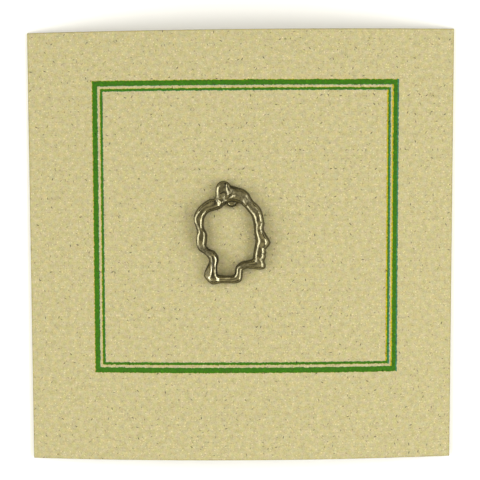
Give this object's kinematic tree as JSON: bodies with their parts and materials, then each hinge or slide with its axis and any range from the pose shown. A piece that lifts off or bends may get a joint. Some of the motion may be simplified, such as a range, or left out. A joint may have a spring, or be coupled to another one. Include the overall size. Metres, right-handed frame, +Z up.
{
  "type": "lapel pin on card",
  "caption": "Cast pewter lapel pin, the open outline of a head from the side with a plain profile, its post pushed through a curled square card and held behind by a round clutch.",
  "frame": {"origin": "under the middle of the card, on the surface that the card's side edges and the clutch's back lie on", "axes": "+Z up out of the printed side of the card, +Y to the card's top edge, +X to its right"},
  "size_m": [0.0698, 0.0702, 0.0076],
  "materials": {
    "pewter": "satin",
    "card_stock": "matte",
    "plated_brass": "satin"
  },
  "bodies": {
    "root": {"pin": "pewter", "card": "card_stock", "clutch": "plated_brass"}
  },
  "joints": []
}
